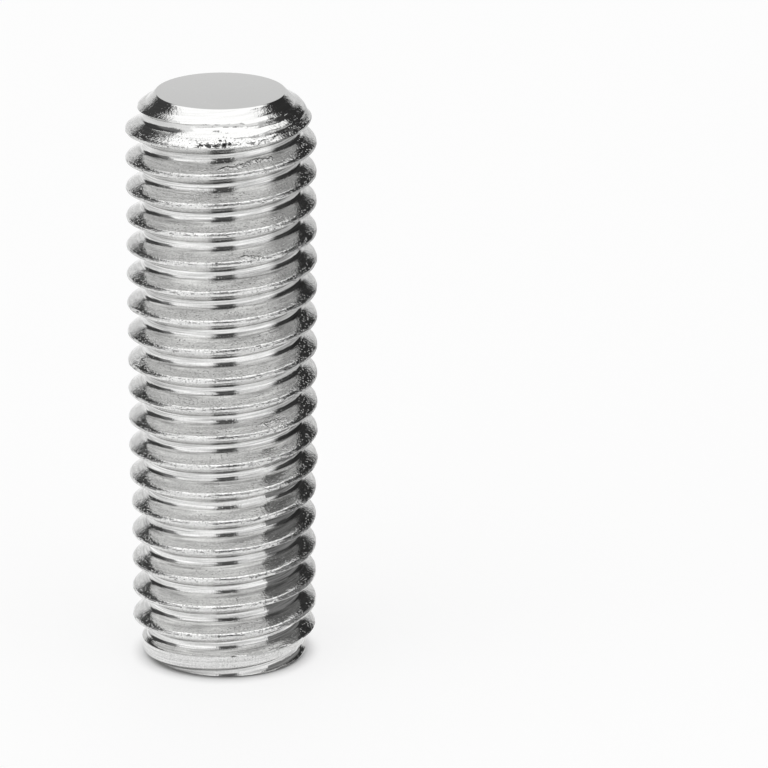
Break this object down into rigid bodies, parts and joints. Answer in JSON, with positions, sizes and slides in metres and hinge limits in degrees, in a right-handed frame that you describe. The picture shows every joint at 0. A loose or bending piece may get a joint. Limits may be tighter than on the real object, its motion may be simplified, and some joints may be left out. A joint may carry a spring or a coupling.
{
  "type": "grub set screw",
  "caption": "Headless socket set screw with a full-length rolled coarse thread, a chamfered flat point and a hexagon key socket in the other end.",
  "frame": {"origin": "centre of the socket-end face, which is the face the screw stands on", "axes": "+Z along the screw's axis, from the socket end up to the flat point; X and Y across it, with one corner of the hexagon socket on +X"},
  "size_m": [0.0078, 0.0078, 0.0246],
  "materials": {
    "stainless_steel": "bright rolled stainless steel, with fine drag lines, small nicks on the crests and a plain turned flat point"
  },
  "bodies": {
    "root": {"set_screw": "stainless_steel"}
  },
  "joints": []
}
